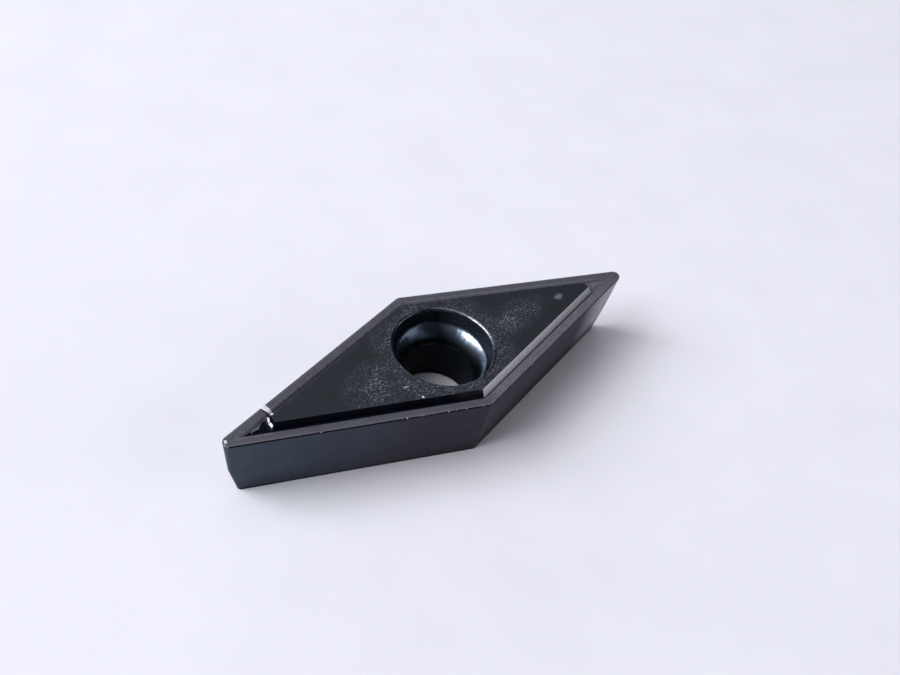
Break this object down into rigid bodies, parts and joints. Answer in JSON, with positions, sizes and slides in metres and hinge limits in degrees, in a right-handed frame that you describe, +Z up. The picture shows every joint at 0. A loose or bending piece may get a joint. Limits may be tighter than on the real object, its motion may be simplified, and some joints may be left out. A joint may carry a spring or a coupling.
{
  "type": "carbide insert",
  "caption": "Double-nosed 35 degree rhombic turning insert with a moulded chip breaker, leaning flanks and a curved screw seat.",
  "frame": {"origin": "middle of the flat bottom face, on the axis of the screw hole", "axes": "+X along the long diagonal towards one nose, +Y along the short diagonal, +Z up through the screw hole"},
  "size_m": [0.0298, 0.01, 0.0051],
  "materials": {
    "coated_carbide": "sintered carbide with a dark grey vapour-deposited coating, satin"
  },
  "bodies": {
    "root": {"insert": "coated_carbide"}
  },
  "joints": []
}
